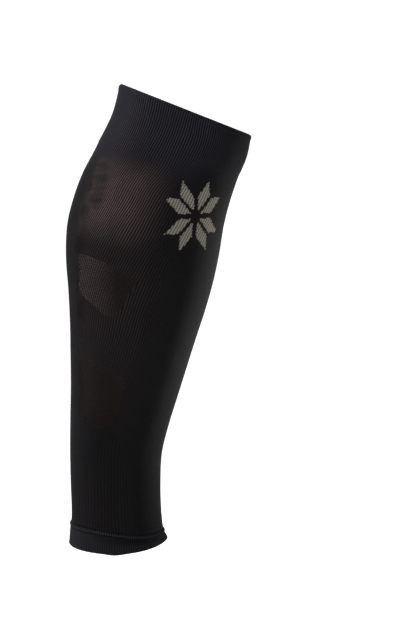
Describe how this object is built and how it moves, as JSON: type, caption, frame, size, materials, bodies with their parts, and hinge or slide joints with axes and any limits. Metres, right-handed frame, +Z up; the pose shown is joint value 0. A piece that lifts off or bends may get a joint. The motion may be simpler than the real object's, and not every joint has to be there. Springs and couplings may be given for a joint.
{
  "type": "calf compression sleeve",
  "caption": "Knitted calf compression sleeve with a ribbed cuff, sheer knit windows over the calf, a raised welt and a ribbed hem, shaped as worn.",
  "frame": {"origin": "middle of the leg where the calf is thickest, inside the sleeve", "axes": "+Z up along the leg towards the knee, -Y towards the shin, -X towards the outer side of the leg"},
  "size_m": [0.1172, 0.1441, 0.3619],
  "materials": {
    "body_knit": "matt black ribbed knit",
    "cuff_knit": "matt bluish black ribbed knit",
    "sheer_knit": "thin brown-black open knit"
  },
  "bodies": {
    "root": {"upper_cuff": "cuff_knit", "calf_tube": "body_knit", "vent_upper_outer": "sheer_knit", "vent_middle_outer": "sheer_knit", "vent_lower_outer": "sheer_knit", "vent_upper_inner": "sheer_knit", "vent_middle_inner": "sheer_knit", "vent_lower_inner": "sheer_knit", "hem_welt": "body_knit", "hem_band": "cuff_knit"}
  },
  "joints": []
}
